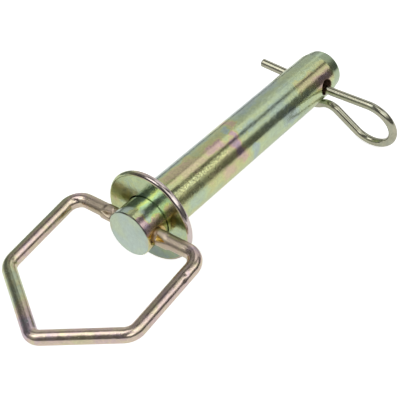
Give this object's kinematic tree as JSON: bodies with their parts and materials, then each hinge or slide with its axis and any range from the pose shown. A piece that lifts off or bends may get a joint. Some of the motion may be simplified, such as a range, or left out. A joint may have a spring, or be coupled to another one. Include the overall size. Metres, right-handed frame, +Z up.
{
  "type": "hitch pin",
  "caption": "Round hitch pin with a collar, a five-sided swinging pull handle at the head and a hairpin clip through the tip.",
  "frame": {"origin": "centre of the collar's seat, the flat ring that meets the coupling", "axes": "+X along the shaft from the seat to the tip, +Z up, both cross holes along Y with the clip's loop on the -Y side"},
  "size_m": [0.2362, 0.098, 0.0549],
  "materials": {
    "shaft_zinc": "turned steel, yellow zinc passivate with green and violet casts",
    "collar_zinc": "smooth steel, yellow zinc passivate, olive to mauve",
    "handle_zinc": "drawn steel wire, yellow zinc passivate, champagne to bronze",
    "clip_zinc": "drawn spring wire, bright zinc"
  },
  "bodies": {
    "pin": {"pin_shaft": "shaft_zinc", "collar": "collar_zinc"},
    "handle": {"swing_handle": "handle_zinc"},
    "clip": {"hairpin_clip": "clip_zinc"}
  },
  "joints": [
    {"name": "handle_swing", "type": "hinge", "parent": "pin", "child": "handle", "pos_m": [-0.011, 0, 0], "axis": [0, 1, 0], "range_deg": [-157, 176]},
    {"name": "clip_pull", "type": "slide", "parent": "pin", "child": "clip", "axis": [0, -1, 0], "range_m": [0, 0.05], "deforming": ["hairpin_clip"]}
  ]
}
